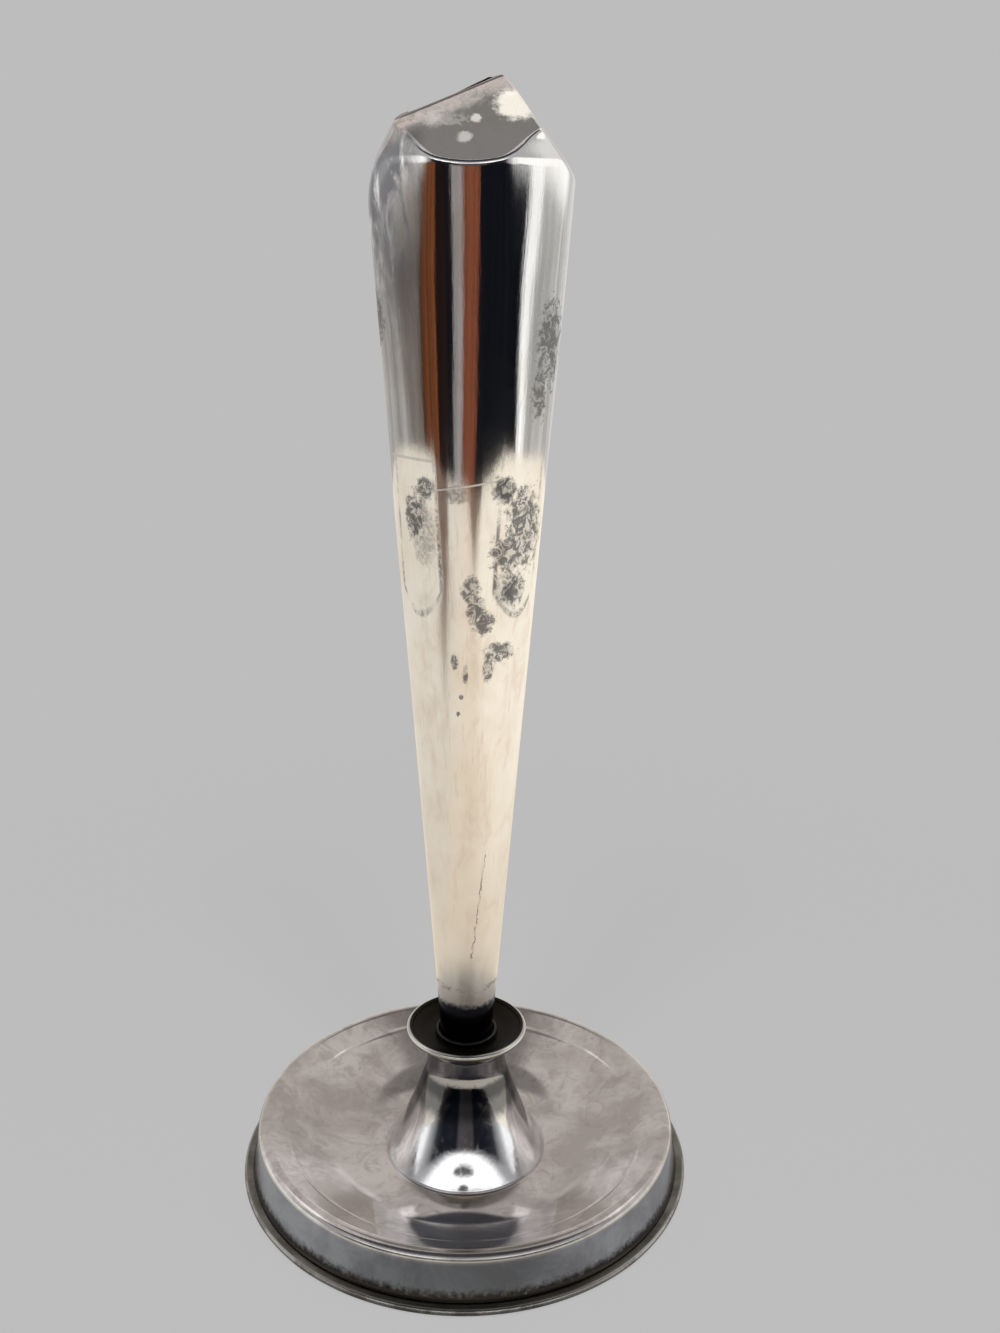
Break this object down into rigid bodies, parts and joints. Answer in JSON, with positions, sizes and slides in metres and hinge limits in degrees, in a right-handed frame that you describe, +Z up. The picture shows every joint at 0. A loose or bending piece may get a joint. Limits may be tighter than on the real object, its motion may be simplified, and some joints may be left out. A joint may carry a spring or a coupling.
{
  "type": "bud vase",
  "caption": "Tall tapering metal bud vase with pressed flats, a folded bud-shaped top and an oblique mouth, on a rolled collar, a flared neck and a dished weighted foot",
  "frame": {"origin": "centre of the felt pad's underside, on the table and on the axis of the vase", "axes": "+Z up along the axis of the vase, the front lobe of the bud faces -Y, the mouth rises toward +X"},
  "size_m": [0.089, 0.089, 0.2043],
  "materials": {
    "silver": "polished silver plate, cream tarnish and fine scratches",
    "satin_silver": "dulled silver plate, mottled taupe",
    "dark_silver": "silver plate darkened by tarnish",
    "solder": "dull grey solder",
    "brass": "turned, unplated",
    "steel": "plain steel",
    "cement": "cast filler",
    "felt": "dark felt"
  },
  "bodies": {
    "root": {"felt_pad": "felt", "base_plate": "dark_silver", "foot_weight": "cement", "foot_dish": "satin_silver", "neck_cone": "silver", "collar_dish": "dark_silver", "stem_bead": "solder", "vase_body": "silver", "body_plug": "brass", "tie_rod": "steel", "rod_washer": "steel", "rod_nut": "steel"}
  },
  "joints": []
}
